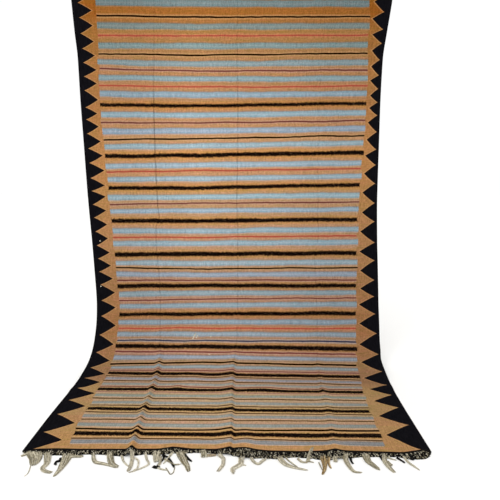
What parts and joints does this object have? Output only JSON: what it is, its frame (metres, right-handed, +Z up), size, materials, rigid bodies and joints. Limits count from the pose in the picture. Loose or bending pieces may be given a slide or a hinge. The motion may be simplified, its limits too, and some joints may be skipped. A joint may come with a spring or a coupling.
{
  "type": "moroccan flat-woven striped rug, hung by its top edge and swept out over the floor",
  "caption": "Flat-woven wool rug in ochre and blue-grey stripes with saw-tooth side borders, hanging and swept forward onto the floor, with loose warp ends at the front.",
  "frame": {"origin": "middle of the top edge, where the rug is held", "axes": "+Z up along the hanging part; +X across the rug to the right as its face is seen; the face looks towards -Y and the lying part runs forward along -Y"},
  "size_m": [1.7831, 1.2047, 2.231],
  "materials": {
    "woven_wool": "flat-woven hand-spun wool, matt and slightly hairy",
    "warp_cotton": "undyed twisted cotton warp ends, matt"
  },
  "bodies": {
    "root": {"woven_rug": "woven_wool", "warp_fringe": "warp_cotton"}
  },
  "joints": []
}
